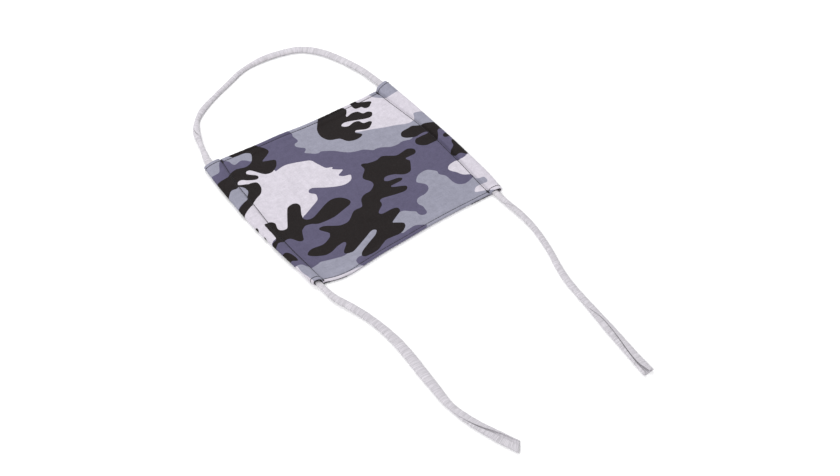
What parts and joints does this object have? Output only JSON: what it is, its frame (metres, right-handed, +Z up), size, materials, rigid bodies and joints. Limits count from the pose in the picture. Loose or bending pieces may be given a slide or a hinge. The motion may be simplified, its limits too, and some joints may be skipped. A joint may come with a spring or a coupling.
{
  "type": "cloth face mask",
  "caption": "Flat two-layer cotton face mask with a camouflage print, a stitched casing down each side and one long jersey tie forming a loop and two tails.",
  "frame": {"origin": "middle of the mask on the surface it lies on, measured without the free stretches of the tie", "axes": "+X across the mask from casing to casing, +Y along the casings from the tails towards the loop, +Z up out of the printed face"},
  "size_m": [0.18, 0.4617, 0.0065],
  "materials": {
    "printed_cotton": "matt plain-weave cotton printed with a four-colour camouflage",
    "lining_cotton": "matt plain-weave cotton",
    "sewing_thread": "dark polyester sewing thread",
    "jersey_tie": "heathered cotton jersey tape with curled edges"
  },
  "bodies": {
    "mask": {"outer_panel": "printed_cotton", "lining_panel": "lining_cotton", "top_hem_stitching": "sewing_thread", "bottom_hem_stitching": "sewing_thread", "left_casing_stitching": "sewing_thread", "right_casing_stitching": "sewing_thread", "top_left_backtack": "sewing_thread", "top_right_backtack": "sewing_thread", "bottom_left_backtack": "sewing_thread", "bottom_right_backtack": "sewing_thread"},
    "tie": {"tie_loop": "jersey_tie", "tie_left_run": "jersey_tie", "tie_right_run": "jersey_tie", "tie_left_tail": "jersey_tie", "tie_right_tail": "jersey_tie"}
  },
  "joints": [
    {"name": "tie_slide", "type": "slide", "parent": "mask", "child": "tie", "axis": [0, 1, 0], "range_m": [-0.01, 0.012]}
  ]
}
